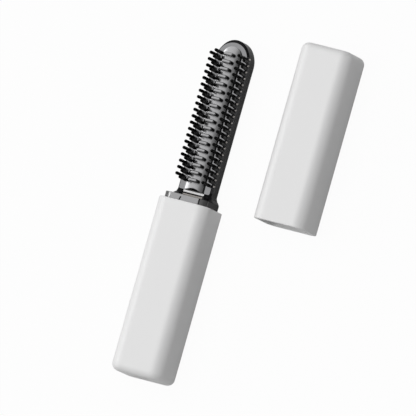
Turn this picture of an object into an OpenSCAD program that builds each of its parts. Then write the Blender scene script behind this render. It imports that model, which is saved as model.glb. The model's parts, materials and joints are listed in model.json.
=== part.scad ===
// Cordless heated comb for travel: a square handle, a toothed heating head and a pull-off cap.
// It lies on its back with the teeth up, and the cap lies beside it.
// X runs across the handle, Y along it towards the head, and Z up. The origin is the middle of
// the handle's back face. Most modules work from the middle of the handle's mouth instead.

/* [Body] */
// Width of the square section that the handle and the cap share
section_w = 30; // [29.4:0.2:36]
// Radius of the four long corners
corner_r = 6.5; // [5.5:0.5:7.5]
// Wall of the handle and of the cap
wall = 2.2; // [1.8:0.1:2.5]
// Thickness of the two closed ends
end_wall = 2.4; // [2:0.1:3]
// Rounding round the two closed ends
end_r = 4; // [3:0.5:5]
// Rounding of the two open rims
lip_r = 0.5; // [0.3:0.1:0.8]
// Length of the handle
handle_len = 97; // [97:1:125]
// Length of the cap
cap_len = 98.8; // [98:0.2:125]
// Distance from the handle's middle line to the cap's, as they lie side by side
cap_beside = 55.5; // [40:0.5:120]
// How far the cap's mouth lies past the handle's mouth
cap_ahead = 0.95; // [-5:0.05:10]

/* [Collar] */
// Gap between the collar and the handle's bore, all round
collar_gap = 0.25; // [0.15:0.05:0.4]
// Height of the collar above the mouth
collar_rise = 3.4; // [3:0.1:4.4]
// Depth of the collar inside the handle
collar_sink = 8; // [6:0.5:8]
// Wall of the collar
collar_wall = 1.5; // [1.3:0.1:1.8]
// Thickness of the trim let into the collar's front
trim_t = 0.9; // [0.6:0.1:1.1]
// Distance of the trim's groove and of its gap from the middle
trim_groove_x = 8.65; // [6:0.05:9.5]
// Width of the trim's groove and gap
trim_groove_w = 0.7; // [0.4:0.1:1]
// Depth of the trim's groove
trim_groove_d = 0.5; // [0.3:0.1:0.55]
// Distance of the trim's small latch slot from the middle
latch_x = 2.6; // [1.5:0.1:6]
// Width of the latch slot
latch_w = 0.8; // [0.6:0.1:1.4]
// Height of the latch slot
latch_h = 2.2; // [1:0.1:2.5]
// How far the latch slot leans to the right over its height
latch_lean = 0.5; // [0:0.1:0.8]

/* [Head] */
// Width of the head
head_w = 20; // [19.4:0.2:21]
// Height of the head's tip above the mouth
head_tip = 92.4; // [91.2:0.2:94]
// Radius of the long side curves of the tip
side_r = 14; // [13:0.5:30]
// Radius of the crown of the tip
crown_r = 8.5; // [8:0.1:9.4]
// Depth of the head behind its front rim
head_depth = 11.5; // [11:0.1:12.4]
// Rounding of the head's front edge
head_front_r = 1; // [0.6:0.1:1.2]
// Rounding of the head's back edge
head_back_r = 3; // [2:0.25:3.5]
// Wall of the head's back
head_back_wall = 1.5; // [1.3:0.1:2]
// Wall of the head's sides
head_side_wall = 2.6; // [2:0.1:3]
// Height of the head's foot above the mouth, where it leaves the flared neck
head_foot = 7.1; // [6.6:0.1:7.1]
// Width of the neck's base on the collar
neck_base_w = 24.6; // [22.5:0.1:25]
// How far the neck's base comes forward of the head's front rim
neck_front = 4; // [2:0.25:6]
// How much rounder the neck's base is than the head's front edge
neck_corner_grow = 3; // [2:0.25:3.5]
// Share of its flare that the neck has at its waist
neck_waist = 0.35; // [0.2:0.05:0.6]
// Thickness of the neck's base
neck_base_t = 0.4; // [0.3:0.1:0.8]
// Wall of the plug under the neck
plug_wall = 1.5; // [1.3:0.1:1.8]
// Depth of the plug inside the handle
plug_sink = 10; // [10:0.5:12]
// Gap between the plug and the collar
plug_gap = 0.1; // [0.05:0.05:0.2]

/* [Plates] */
// Distance of the border plate's edge from the head's edge
border_inset = 1; // [0.8:0.1:1.4]
// Distance of the border plate's tip from the head's tip
border_tip_inset = 1.8; // [1.2:0.1:2.2]
// Thickness of the border plate
border_t = 0.8; // [0.6:0.1:1]
// Height of the border plate's lower end above the mouth
border_foot = 7.35; // [7.3:0.05:8]
// Rounding of the border plate's lower corners
border_corner_r = 0.8; // [0.4:0.1:1.2]
// Gap under the border plate
border_gap = 0.1; // [0.05:0.05:0.15]
// Half the width of the raised heating plate
plate_half = 5.24; // [5:0.02:5.4]
// Height of the heating plate's edges above the border plate
plate_edge_h = 1.4; // [0.8:0.1:2]
// Height of the heating plate's crown above the border plate
plate_crown_h = 2.4; // [2.2:0.1:4]
// Height of the heating plate's lower end above the mouth
plate_foot_y = 7.3; // [7.2:0.05:8]
// Height of the heating plate's round tip above the mouth
plate_tip_y = 88.3; // [87.5:0.1:89]
// Rounding of the heating plate's lower end
plate_foot_r = 1.8; // [1:0.1:2.4]
// How far the heating plate's tongue reaches under the border plate
tongue_drop = 1.6; // [1.2:0.1:2]
// Half the width of the tongue
tongue_half = 4.6; // [4.4:0.05:4.65]
// Gap round the tongue in the border plate's window
window_gap = 0.15; // [0.1:0.05:0.2]
// Number of cooling ribs
rib_count = 18; // [12:1:18]
// Distance from rib to rib
rib_pitch = 4.156; // [3.6:0.002:4.2]
// Height of the lowest rib above the mouth
rib_start = 12.65; // [11:0.05:13]
// Width of a rib across the head
rib_w = 5.6; // [4.4:0.1:6.4]
// Thickness of a rib
rib_t = 2; // [1.4:0.1:2.4]
// Height of the ribs above the border plate
rib_rise = 7.2; // [5.6:0.1:7.4]
// Half the width of the white block at the plate's foot
foot_half = 6; // [5.3:0.05:6.2]
// Length of the white block
foot_len = 1.15; // [0.8:0.05:1.3]
// Height of the white block above the head's front
foot_rise = 1; // [0.8:0.1:3]
// Rounding of the white block's front edge
foot_r = 0.5; // [0.3:0.05:0.55]
// Gap between the white block and the pale insert below it
insert_drop = 0.75; // [0.5:0.05:1]
// Length of the pale insert
insert_len = 1.15; // [0.8:0.05:1.25]
// Rounding of the pale insert's front edge
insert_r = 0.7; // [0.4:0.05:0.7]

/* [Teeth] */
// Distance from tooth to tooth in a row
tooth_pitch = 3.56; // [3.2:0.01:3.57]
// Number of teeth in each inner row
inner_teeth = 21; // [14:1:21]
// Height of the lowest inner tooth above the mouth
tooth_start = 12.5; // [11.6:0.1:12.8]
// Distance of the inner rows from the middle
inner_row_x = 6.8; // [6.7:0.05:7]
// Distance of the outer rows' roots from the middle
outer_row_x = 9.1; // [9:0.05:9.6]
// Height of the inner teeth above the strip
inner_tooth_h = 10.2; // [8.5:0.1:10.8]
// Height of the outer teeth above the strip
outer_tooth_h = 8.7; // [6:0.1:9]
// Outward lean of the outer teeth, in degrees
outer_lean = 5; // [0:0.5:6]
// Radius of a tooth at its root
tooth_root_r = 0.86; // [0.7:0.01:1]
// Radius of a tooth at its tip
tooth_tip_r = 0.9; // [0.5:0.01:0.95]
// Gap round an inner tooth in the border plate
tooth_gap = 0.15; // [0.1:0.05:0.2]
// Thickness of the comb strips
strip_t = 2; // [1.6:0.1:2.2]
// Distance of the strips' inner edge from the middle
strip_inner_x = 5.6; // [5.4:0.05:5.8]
// Distance from the mouth to the strips' lower end
strip_foot = 8.6; // [8.4:0.1:9.4]
// Distance from the mouth to the strips' upper end
strip_top = 84.9; // [84.9:0.1:86]
// Gap round the strips
strip_gap = 0.05; // [0.03:0.01:0.1]

/* [Heater] */
// Number of ceramic heater stones
stone_count = 4; // [2:1:6]
// Length of a heater stone
stone_len = 16.4; // [8:0.2:16.6]
// Gap between two heater stones
stone_gap = 0.3; // [0.1:0.1:0.5]
// Width of the heater stones and their contact strips
stone_w = 8; // [7:0.1:8.2]
// Thickness of the heater stones
stone_t = 2.5; // [2:0.1:2.6]
// Thickness of the contact strips
contact_t = 0.4; // [0.3:0.05:0.5]
// Thickness of the insulating sheet
sheet_t = 0.6; // [0.4:0.1:0.7]
// How far the insulating sheet is wider than the stones
sheet_over = 0.8; // [0.4:0.1:1]
// Height of the heater stack's lower end above the mouth
stack_foot = 14.4; // [14.4:0.1:15]
// Length of the bow spring behind the heater
bow_len = 60; // [40:1:64]
// Width of the bow spring
bow_w = 6; // [4:0.5:8]
// Thickness of the bow spring
bow_t = 0.4; // [0.3:0.05:0.6]
// Diameter of the thermal fuse
fuse_d = 2.2; // [1.8:0.1:2.4]
// Length of the thermal fuse
fuse_len = 9; // [6:0.5:12]
// Diameter of the temperature sensor
sensor_d = 1.6; // [1.2:0.1:2]
// Length of the temperature sensor
sensor_len = 5; // [3:0.5:8]
// Diameter of the heater's two leads
lead_d = 1.3; // [1:0.1:1.4]
// Gap between small parts that sit beside each other
seat_gap = 0.1; // [0.05:0.05:0.15]

/* [Screws] */
// Diameter of the head and chassis screws
screw_d = 2; // [1.8:0.1:2.2]
// Diameter of their heads
screw_head_d = 3.8; // [3.4:0.1:4]
// Height of their heads
screw_head_h = 1.4; // [1.2:0.1:1.6]
// Diameter of the board screws
small_screw_d = 1.6; // [1.4:0.1:1.8]
// Diameter of the board screws' heads
small_head_d = 3; // [2.6:0.1:3.2]
// Height of the board screws' heads
small_head_h = 1; // [0.8:0.1:1.1]
// Gap round a screw in its hole
screw_gap = 0.05; // [0.03:0.01:0.08]

/* [Battery and boards] */
// Distance from the mouth to the cell's upper end
cell_drop = 20; // [20:0.1:22]
// Distance from the cell's lower end to the handle's end face
cell_rise = 12; // [12:0.5:16]
// Room between the cell and the main board
cell_off_board = 1.7; // [1.6:0.1:2.2]
// Thickness of the cell's contact tabs
tab_t = 0.3; // [0.2:0.05:0.3]
// Width of the cell's contact tabs
tab_w = 5; // [3:0.5:8]
// Thickness of the foam pads at the cell's ends
pad_t = 1.2; // [0.8:0.1:1.2]
// Diameter of the foam pads
pad_d = 15; // [12:0.5:17]
// Gap round the cell in its cradle
cell_gap = 0.15; // [0.1:0.05:0.25]
// Thickness of the two circuit boards
board_t = 1; // [0.8:0.1:1.2]
// Width of the main board
board_w = 16.6; // [14:0.2:17]
// Distance from the mouth to the main board's upper end
board_drop = 13.5; // [13:0.5:14.5]
// Length of the charging board
port_board_len = 6; // [5:0.2:6]
// Width of the charging socket
port_w = 8.94; // [8.9:0.02:9]
// Height of the charging socket
port_h = 3.26; // [3.2:0.02:3.3]
// Depth of the charging socket
port_len = 7.3; // [6.5:0.1:7.6]
// Sheet thickness of the charging socket
port_wall = 0.3; // [0.2:0.05:0.35]
// How far the charging socket lies inside the handle's end face
port_inset = 0.6; // [0.3:0.1:1]
// Gap round the charging socket in the handle's end
port_gap = 0.15; // [0.1:0.05:0.25]
// Thickness of the chassis floor
chassis_floor_t = 2.3; // [1.6:0.1:2.4]
// Thickness of the chassis walls and end plate along the handle
chassis_wall_t = 1.2; // [1:0.1:1.2]
// Thickness of the three cradles under the cell
cradle_t = 4; // [3:0.5:6]
// Web of the cradles beside the cell
side_web = 0.9; // [0.8:0.1:1.1]
// Gap between the chassis and the handle's bore
chassis_gap = 0.15; // [0.1:0.05:0.25]
// Height of the chassis's two end walls above its middle line
chassis_wall_rise = 6; // [4:0.5:8]
// Depth of the board screws' holes in the chassis
board_hole_depth = 3; // [2:0.5:3]

/* [Board parts] */
// Width of the controller chip
controller_w = 6; // [4:0.5:7]
// Height of the controller chip
controller_h = 1; // [0.8:0.1:1.2]
// Distance of the controller chip below the cell's upper end
controller_drop = 15; // [14:0.5:18]
// Width of the coil
coil_w = 7; // [5:0.5:7]
// Height of the coil
coil_h = 2.2; // [1.5:0.1:2.2]
// Distance of the coil from the button's middle, towards the end
coil_off_button = 14; // [13:0.5:16]
// Length of the charging chip
charger_len = 5; // [3:0.5:6]
// Distance of the charging chip from the board's lower end
charger_rise = 8; // [5:0.5:8]
// Length of a capacitor
capacitor_len = 3; // [2:0.1:3.2]
// Width of a capacitor
capacitor_w = 1.6; // [1:0.1:1.8]
// Height of a capacitor
capacitor_h = 0.8; // [0.6:0.1:1.2]

/* [Power button] */
// Distance from the mouth to the middle of the button
button_drop = 55.2; // [46:0.2:66]
// Distance of the button in front of the handle's middle line
button_fore = 3.5; // [3:0.25:4]
// Length of the button
button_len = 9; // [8:0.5:12]
// Width of the button
button_w = 7; // [6.4:0.2:7.6]
// Radius of the button's corners
button_corner_r = 1.3; // [0.8:0.1:2]
// How far the button's lower end stands out
button_out = 1.45; // [1.3:0.05:1.8]
// Radius of the hollow in the button's face
dish_r = 25; // [22:1:60]
// Distance of the hollow's lowest line from the button's middle, towards the mouth
dish_shift = 1; // [0:0.25:2]
// Gap between the button and its window
button_gap = 0.2; // [0.15:0.05:0.3]
// How far the button's flange is wider than its window
flange_over = 0.8; // [0.5:0.1:1]
// Thickness of the flange
flange_t = 0.8; // [0.6:0.1:0.9]
// Gap between the flange and the handle's wall at rest
flange_gap = 0.1; // [0.05:0.05:0.15]
// Travel of the button
button_travel = 0.6; // [0.4:0.1:0.6]
// Width of the switch
switch_w = 5.2; // [4.5:0.1:6]
// Height of the switch
switch_h = 1.7; // [1.6:0.1:1.8]
// Diameter of the switch's plunger
plunger_d = 2.4; // [1.8:0.1:3]
// Length of the plunger inside the switch at rest
plunger_grip = 0.5; // [0.3:0.1:0.6]
// Distance from the button to the status light, towards the mouth
light_ahead = 13; // [11:0.5:18]
// Diameter of the status light's guide
light_d = 2.4; // [1.8:0.1:3]

/* [Hidden] */

$fn = 48;

WHITE = [0.93, 0.93, 0.93];
BLACK = [0.07, 0.07, 0.075];
COMB = [0.03, 0.03, 0.03];
GREY = [0.45, 0.45, 0.46];
SILVER = [0.72, 0.72, 0.73];
BRASS = [0.78, 0.62, 0.3];
STEEL = [0.6, 0.6, 0.62];
GREEN = [0.05, 0.28, 0.14];

// The bore of the handle and of the cap
bore_w = section_w - 2 * wall;
bore_half = bore_w / 2;
bore_r = corner_r - wall;

// The collar and the plug that it holds
collar_w = bore_w - 2 * collar_gap;
collar_r = bore_r + collar_gap * 2;
ring_bore_w = collar_w - 2 * collar_wall;
ring_bore_r = collar_r - collar_wall;
plug_w = ring_bore_w - 2 * plug_gap;
plug_r = ring_bore_r - plug_gap;
plug_hollow_half = plug_w / 2 - plug_wall;
corner_flat = collar_w / 2 - collar_r;

// The curves of the head's tip
head_half = head_w / 2;
side_x = side_r - head_half;
crown_rise = sqrt(pow(side_r - crown_r, 2) - pow(side_x, 2));
head_spring = head_tip - crown_r - crown_rise;
side_steps = 10;
crown_steps = 20;
ring_turn = 11.25;
head_floor = head_back_wall - head_depth;
slice_t = 0.2;

// Heights of the layers above and below the head's front rim
border_z = border_gap + border_t;
plate_sag = plate_crown_h - plate_edge_h;
plate_arc_r = (plate_half * plate_half + plate_sag * plate_sag) / (2 * plate_sag);
plate_end_y = plate_tip_y - plate_half;
tongue_z = -tongue_drop + border_gap;
front_contact_z = tongue_z - contact_t;
stone_z = front_contact_z - stone_t;
rear_contact_z = stone_z - contact_t;
sheet_z = rear_contact_z - sheet_t;
stack_len = stone_count * (stone_len + stone_gap) - stone_gap;
lead_r = lead_d / 2;
lead_x = screw_d / 2 + 2;
front_lead_z = stone_z + stone_t / 2 + 0.15;
rear_lead_z = rear_contact_z + contact_t / 2;

// The white block and the pale insert below it, from the neck up
foot_low_y = head_foot - foot_len;
insert_low_y = foot_low_y - insert_drop - insert_len;

// The screws from the head's back into the heating plate
post_r = screw_d / 2 + 1.2;
post_low_y = strip_foot + post_r + 0.8;
post_high_y = plate_end_y + 1.4;
post_z = -5.9;
pillar_r = screw_head_d / 2 + 0.9;
counterbore_z = -8.5;

// Places across the handle, from the button's side to the other
flange_x = -bore_half + flange_gap + flange_t;
switch_x = flange_x + button_travel + seat_gap;
board_x = switch_x + switch_h;
board_back_x = board_x + board_t;
chassis_half = bore_half - chassis_gap;
cell_d = chassis_half - side_web - cell_gap - board_back_x - cell_off_board;
cell_x = board_back_x + cell_off_board + cell_d / 2;
cell_hollow_r = cell_d / 2 + cell_gap;

// Places along the handle, from the mouth down
base_y = -handle_len + end_wall;
cell_top = -cell_drop;
cell_low = -handle_len + cell_rise;
cell_len = cell_top - cell_low;
upper_wall_y = cell_top + tab_t + pad_t;
lower_wall_y = cell_low - tab_t - pad_t - chassis_wall_t;
lead_turn_y = (upper_wall_y + chassis_wall_t - plug_sink - 2 * chassis_wall_t) / 2 - 0.3;
port_end_y = -handle_len + port_inset;
port_board_low = base_y + 0.4;
board_low = port_board_low + 1.2;
port_board_z = -port_h / 2 - board_t;
floor_z = -chassis_half + chassis_floor_t;
board_hole_z = board_w / 2 - 1.8;
cradle_ys = [cell_top - 8, cell_top - cell_len / 2, cell_low + 8];
chassis_screw_x = -board_back_x - screw_d / 2 - 1.5;
chassis_screw_z = plug_hollow_half - screw_head_d / 2 - 0.5;
chassis_screw_len = 8;
button_y = -button_drop;
light_y = button_y + light_ahead;
lamp_h = 0.6;

// Moves a piece from the mouth's own frame to its place
module place() {
    translate([0, handle_len / 2, section_w / 2]) children();
}

// Moves a piece of the cap to where the cap lies
module place_cap() {
    place() translate([cap_beside, cap_ahead, 0]) children();
}

module soft_rectangle(len, w, r) {
    square([len - 2 * r, w], center = true);
    square([len, w - 2 * r], center = true);
    for (sx = [-1, 1], sy = [-1, 1])
        translate([sx * (len / 2 - r), sy * (w / 2 - r)]) circle(r);
}

module stadium(len, w) {
    square([len - w, w], center = true);
    for (s = [-1, 1]) translate([s * (len - w) / 2, 0]) circle(w / 2);
}

// Half of a rounded end's section, from the middle out
module end_half(half, edge_r) {
    square([half - edge_r, edge_r]);
    translate([half - edge_r, 0]) intersection() {
        circle(edge_r);
        square(edge_r);
    }
}

// The rounded end of a square bar with rounded corners, standing on its last full section
module round_end(w, r, edge_r) {
    flat = w / 2 - r;
    for (turn = [0, 90])
        rotate([0, 0, turn]) rotate([90, 0, 0]) linear_extrude(2 * flat, center = true) {
            end_half(w / 2, edge_r);
            mirror([1, 0]) end_half(w / 2, edge_r);
        }
    for (sx = [-1, 1], sy = [-1, 1])
        translate([sx * flat, sy * flat, 0]) rotate_extrude() end_half(r, edge_r);
}

// A square bar along Y with a rounding of its own at each end
module soft_bar(w, len, r, start_r, stop_r) {
    rotate([-90, 0, 0]) {
        translate([0, 0, start_r]) linear_extrude(len - start_r - stop_r) soft_rectangle(w, w, r);
        translate([0, 0, len - stop_r]) round_end(w, r, stop_r);
        translate([0, 0, start_r]) mirror([0, 0, 1]) round_end(w, r, start_r);
    }
}

module square_bar(w, len, r) {
    rotate([-90, 0, 0]) linear_extrude(len) soft_rectangle(w, w, r);
}

module block(low, high) {
    translate(low) cube(high - low);
}

// A rod from one point to the next, with round elbows
module wire(points, r) {
    for (i = [0 : len(points) - 2]) {
        reach = points[i + 1] - points[i];
        turned = acos(reach[2] / norm(reach));
        heading = atan2(reach[1], reach[0]);
        translate(points[i]) rotate([0, turned, heading]) cylinder(h = norm(reach), r = r);
    }
    for (i = [1 : len(points) - 2]) translate(points[i]) sphere(r);
}

module screw(d, len, head_d, head_h) {
    translate([0, 0, -len]) cylinder(h = len, d = d);
    cylinder(h = head_h, d = head_d);
}

// Puts what stands on X = 0 and faces -X where the button is
module at_button(x) {
    translate([x, button_y, button_fore]) rotate([0, -90, 0]) rotate([0, 0, 90]) children();
}

// The button's outline, grown by a gap
module button_plan(grow) {
    soft_rectangle(button_len + 2 * grow, button_w + 2 * grow, button_corner_r + grow);
}

module handle_shell() {
    color(WHITE) place() difference() {
        translate([0, -handle_len, 0]) soft_bar(section_w, handle_len, corner_r, end_r, lip_r);
        translate([0, base_y, 0]) square_bar(bore_w, handle_len, bore_r);
        translate([0, -handle_len - 1, 0]) rotate([-90, 0, 0])
            linear_extrude(end_wall + 2) stadium(port_w + 2 * port_gap, port_h + 2 * port_gap);
        at_button(-bore_half + 1)
            linear_extrude(wall + 2) button_plan(button_gap);
        translate([-bore_half + 1, light_y, button_fore]) rotate([0, -90, 0])
            cylinder(h = wall + 2, d = light_d + 2 * screw_gap);
    }
}

module cap_shell() {
    color(WHITE) place_cap() difference() {
        soft_bar(section_w, cap_len, corner_r, lip_r, end_r);
        translate([0, -1, 0]) square_bar(bore_w, cap_len - end_wall + 1, bore_r);
    }
}

// The collar's front and front corners, where the trim lies
module trim_zone(grow) {
    block([-collar_w, -grow, corner_flat - grow], [collar_w, collar_rise + 1, collar_w]);
}

module collar_ring() {
    color(BLACK) place() difference() {
        translate([0, -collar_sink, 0]) square_bar(collar_w, collar_sink + collar_rise, collar_r);
        translate([0, -collar_sink - 1, 0])
            square_bar(ring_bore_w, collar_sink + collar_rise + 2, ring_bore_r);
        difference() {
            trim_zone(0);
            translate([0, -1, 0])
                square_bar(collar_w - 2 * trim_t - seat_gap, collar_rise + 3,
                    collar_r - trim_t - seat_gap / 2);
        }
    }
}

module collar_trim() {
    color(GREY) place() difference() {
        intersection() {
            square_bar(collar_w, collar_rise, collar_r);
            trim_zone(-seat_gap / 2);
        }
        translate([0, -1, 0])
            square_bar(collar_w - 2 * trim_t, collar_rise + 2, collar_r - trim_t);
        block([-trim_groove_x - trim_groove_w / 2, -1, collar_w / 2 - trim_groove_d],
            [-trim_groove_x + trim_groove_w / 2, collar_rise + 1, collar_w]);
        block([trim_groove_x - trim_groove_w / 2, -1, corner_flat],
            [trim_groove_x + trim_groove_w / 2, collar_rise + 1, collar_w]);
        translate([-latch_x, 0, corner_flat]) linear_extrude(collar_w) polygon([
            [-latch_w / 2 - latch_lean / latch_h, -1], [latch_w / 2 - latch_lean / latch_h, -1],
            [latch_w / 2 + latch_lean, latch_h], [-latch_w / 2 + latch_lean, latch_h]]);
    }
}

// The head's outline seen from the front, drawn in by an inset, from a foot up to a tip: one
// side curve, the crown and the other side curve
function head_outline(inset, foot, tip) =
    let (side = side_r - inset,
        reach = tip - head_spring,
        rise = (side_x * side_x - pow(side - reach, 2)) / (2 * (side - reach)),
        crown = reach - rise,
        turn = atan2(rise, side_x),
        curve = [for (i = [0 : side_steps - 1]) let (a = turn * i / side_steps)
            [side * cos(a) - side_x, head_spring + side * sin(a)]])
    concat([[head_half - inset, foot]], curve,
        [for (i = [0 : crown_steps]) let (a = turn + (180 - 2 * turn) * i / crown_steps)
            [crown * cos(a), head_spring + rise + crown * sin(a)]],
        [for (i = [side_steps - 1 : -1 : 0]) [-curve[i][0], curve[i][1]]],
        [[inset - head_half, foot]]);

module head_plan(inset, foot, tip) {
    polygon(head_outline(inset, foot, tip));
}

// The inset and the height of each ring round the head's edge, from the back to the front
function head_rings() = concat(
    [for (a = [90 : -ring_turn : 0])
        [head_back_r * (1 - cos(a)), head_back_r * (1 - sin(a)) - head_depth]],
    [for (a = [0 : ring_turn : 90])
        [head_front_r * (1 - cos(a)), head_front_r * (sin(a) - 1)]]);

// The head's outer shape with its rounded edges
module head_slab() {
    rings = head_rings();
    outlines = [for (ring = rings) [for (p = head_outline(ring[0], head_foot, head_tip - ring[0]))
        [p[0], p[1], ring[1]]]];
    n = len(outlines[0]);
    last = len(rings) - 1;
    polyhedron(points = [for (outline = outlines) each outline], faces = concat(
        [[for (i = [0 : n - 1]) i]],
        [for (k = [0 : last - 1], i = [0 : n - 1]) let (j = (i + 1) % n)
            each [[k * n + i, (k + 1) * n + i, (k + 1) * n + j], [k * n + i, (k + 1) * n + j, k * n + j]]],
        [[for (i = [n - 1 : -1 : 0]) last * n + i]]));
}

// The head's cross-section with its rounded edges, at a half width
module head_section(half) {
    for (s = [0, 1]) mirror([s, 0]) {
        translate([0, head_back_r - head_depth])
            square([half, head_depth - head_front_r - head_back_r]);
        translate([0, -head_front_r]) square([half - head_front_r, head_front_r]);
        translate([0, -head_depth]) square([half - head_back_r, head_back_r]);
        translate([half - head_front_r, -head_front_r]) circle(head_front_r);
        translate([half - head_back_r, head_back_r - head_depth]) circle(head_back_r);
    }
}

// The space of one comb strip at the head's front edge, on the +X side
module strip_space(gap) {
    block([strip_inner_x - gap, strip_foot - gap, -strip_t - gap],
        [head_half + 1, strip_top + gap, 1]);
}

// The places of the two screws that hold the heating plate
module at_posts() {
    for (y = [post_low_y, post_high_y]) translate([0, y, 0]) children();
}

module at_chassis_screws() {
    for (s = [-1, 1])
        translate([s * chassis_screw_x, -plug_sink + plug_wall, chassis_screw_z])
            rotate([-90, 0, 0]) children();
}

// A slice of the neck, widened by a share from the head's section to the base's
module neck_slice(y, t, share) {
    half = head_half + share * (neck_base_w / 2 - head_half);
    back = -head_depth - share * (neck_base_w / 2 - head_depth);
    front = share * neck_front;
    translate([0, y, (front + back) / 2]) rotate([-90, 0, 0])
        linear_extrude(t) soft_rectangle(2 * half, front - back, head_front_r + share * neck_corner_grow);
}

// The neck, which flares from the head to the collar in two steps
module flared_neck() {
    skin = 0.05;
    low_y = collar_rise + neck_base_t;
    waist_y = low_y + 0.4 * (head_foot - low_y);
    hull($fn = 32) {
        neck_slice(collar_rise, neck_base_t, 1);
        neck_slice(waist_y, slice_t, neck_waist);
    }
    hull($fn = 32) {
        neck_slice(waist_y - 2 * slice_t, slice_t, neck_waist - skin);
        translate([0, head_foot + slice_t, -skin]) rotate([90, 0, 0])
            linear_extrude(slice_t) head_section(head_half - skin);
    }
}

module head_frame() {
    passage_half = 5;
    passage_low = -8;
    passage_high = -0.9;
    hollow_foot = strip_foot + 0.1;
    color(BLACK) place() {
        difference() {
            union() {
                head_slab();
                flared_neck();
                translate([0, -plug_sink, 0]) square_bar(plug_w, plug_sink + collar_rise + 0.2, plug_r);
            }
            translate([0, 0, head_floor]) linear_extrude(head_depth)
                head_plan(head_side_wall, hollow_foot, head_tip - head_side_wall);
            for (s = [0, 1]) mirror([s, 0, 0]) strip_space(strip_gap);
            block([-passage_half, 0, passage_low], [passage_half, hollow_foot + 1, passage_high]);
            block([-plug_hollow_half, -plug_sink + plug_wall, -plug_hollow_half],
                [plug_hollow_half, collar_rise - plug_wall, plug_hollow_half]);
            block([-lead_x - lead_d, -plug_sink - 1, rear_lead_z - lead_d],
                [lead_x + lead_d, -plug_sink + plug_wall + 1, front_lead_z + lead_d]);
            block([-foot_half - seat_gap, insert_low_y - seat_gap, 0],
                [foot_half + seat_gap, head_foot + 1, head_depth]);
            at_chassis_screws() translate([0, 0, -plug_wall - 1])
                cylinder(h = plug_wall + 2, d = screw_d + 2 * screw_gap);
            screw_bores();
        }
        difference() {
            at_posts() translate([0, 0, head_floor - 0.2])
                cylinder(h = post_z - seat_gap - head_floor + 0.2, r = pillar_r);
            screw_bores();
        }
    }
}

// The counterbores and through holes at the head's back
module screw_bores() {
    at_posts() {
        translate([0, 0, -head_depth - 1])
            cylinder(h = counterbore_z + head_depth + 1, d = screw_head_d + 0.4);
        translate([0, 0, -head_depth]) cylinder(h = head_depth, d = screw_d + 2 * screw_gap);
    }
}

// The heating plate's window and tongue, seen from the front
module tongue_plan(half, foot) {
    translate([-half, foot]) square([2 * half, plate_end_y - foot]);
    translate([0, plate_end_y]) circle(half);
}

// The places of the teeth in the right-hand rows
module at_inner_row() {
    for (i = [0 : inner_teeth - 1])
        translate([inner_row_x, tooth_start + i * tooth_pitch]) children();
}

module at_outer_row() {
    for (i = [0 : inner_teeth - 2])
        translate([outer_row_x, tooth_start + (i + 0.5) * tooth_pitch]) children();
}

module tooth(h) {
    root = 0.6;
    translate([0, 0, -root]) cylinder(h = root, r = tooth_root_r);
    cylinder(h = h - tooth_tip_r, r1 = tooth_root_r, r2 = tooth_tip_r);
    translate([0, 0, h - tooth_tip_r]) sphere(tooth_tip_r);
}

module border_plate() {
    color(SILVER) place() translate([0, 0, border_gap]) linear_extrude(border_t) difference() {
        intersection() {
            head_plan(border_inset, border_foot, head_tip - border_tip_inset);
            union() {
                translate([-head_half, border_foot + border_corner_r]) square([head_w, head_tip]);
                translate([border_corner_r + border_inset - head_half, border_foot])
                    square([head_w - 2 * border_inset - 2 * border_corner_r, 2 * border_corner_r]);
                for (s = [-1, 1])
                    translate([s * (head_half - border_inset - border_corner_r),
                        border_foot + border_corner_r]) circle(border_corner_r);
            }
        }
        tongue_plan(tongue_half + window_gap, strip_foot + 0.6 - window_gap);
        for (s = [0, 1]) mirror([s, 0]) {
            at_inner_row() circle(tooth_root_r + tooth_gap);
            at_outer_row() circle(tooth_root_r + tooth_gap);
        }
    }
}

// Half of the heating plate's domed section above the border plate
module plate_half_section() {
    intersection() {
        translate([0, plate_crown_h - plate_arc_r]) circle(plate_arc_r, $fn = 96);
        square([plate_half, plate_crown_h]);
    }
}

module plate_dome() {
    difference() {
        union() {
            translate([0, plate_end_y, 0]) rotate([90, 0, 0])
                linear_extrude(plate_end_y - plate_foot_y) {
                    plate_half_section();
                    mirror([1, 0]) plate_half_section();
                }
            translate([0, plate_end_y, 0]) rotate_extrude() plate_half_section();
        }
        difference() {
            block([-plate_half - 1, plate_foot_y - 1, plate_crown_h - plate_foot_r],
                [plate_half + 1, plate_foot_y + plate_foot_r, plate_crown_h + 1]);
            translate([0, plate_foot_y + plate_foot_r, plate_crown_h - plate_foot_r])
                rotate([0, 90, 0]) cylinder(h = 2 * plate_half + 2, r = plate_foot_r, center = true);
        }
    }
}

// A rib with a rounded top and rounded ends
module rib() {
    root = plate_edge_h / 2;
    top_z = rib_rise - rib_t / 2;
    translate([0, 0, root]) linear_extrude(top_z - root) stadium(rib_w, rib_t);
    translate([0, 0, top_z]) rotate([0, 90, 0])
        cylinder(h = rib_w - rib_t, d = rib_t, center = true);
    for (s = [-1, 1]) translate([s * (rib_w - rib_t) / 2, 0, top_z]) sphere(d = rib_t);
}

module heating_plate() {
    color(SILVER) place() {
        translate([0, 0, border_z]) {
            plate_dome();
            for (i = [0 : rib_count - 1]) translate([0, rib_start + i * rib_pitch, 0]) rib();
        }
        translate([0, 0, tongue_z]) linear_extrude(border_z - tongue_z)
            tongue_plan(tongue_half, strip_foot + 0.6);
        difference() {
            at_posts() translate([0, 0, post_z]) cylinder(h = tongue_z - post_z, r = post_r);
            at_posts() translate([0, 0, post_z - 1])
                cylinder(h = tongue_z - post_z + 1, d = screw_d + 2 * screw_gap);
        }
    }
}

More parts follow.
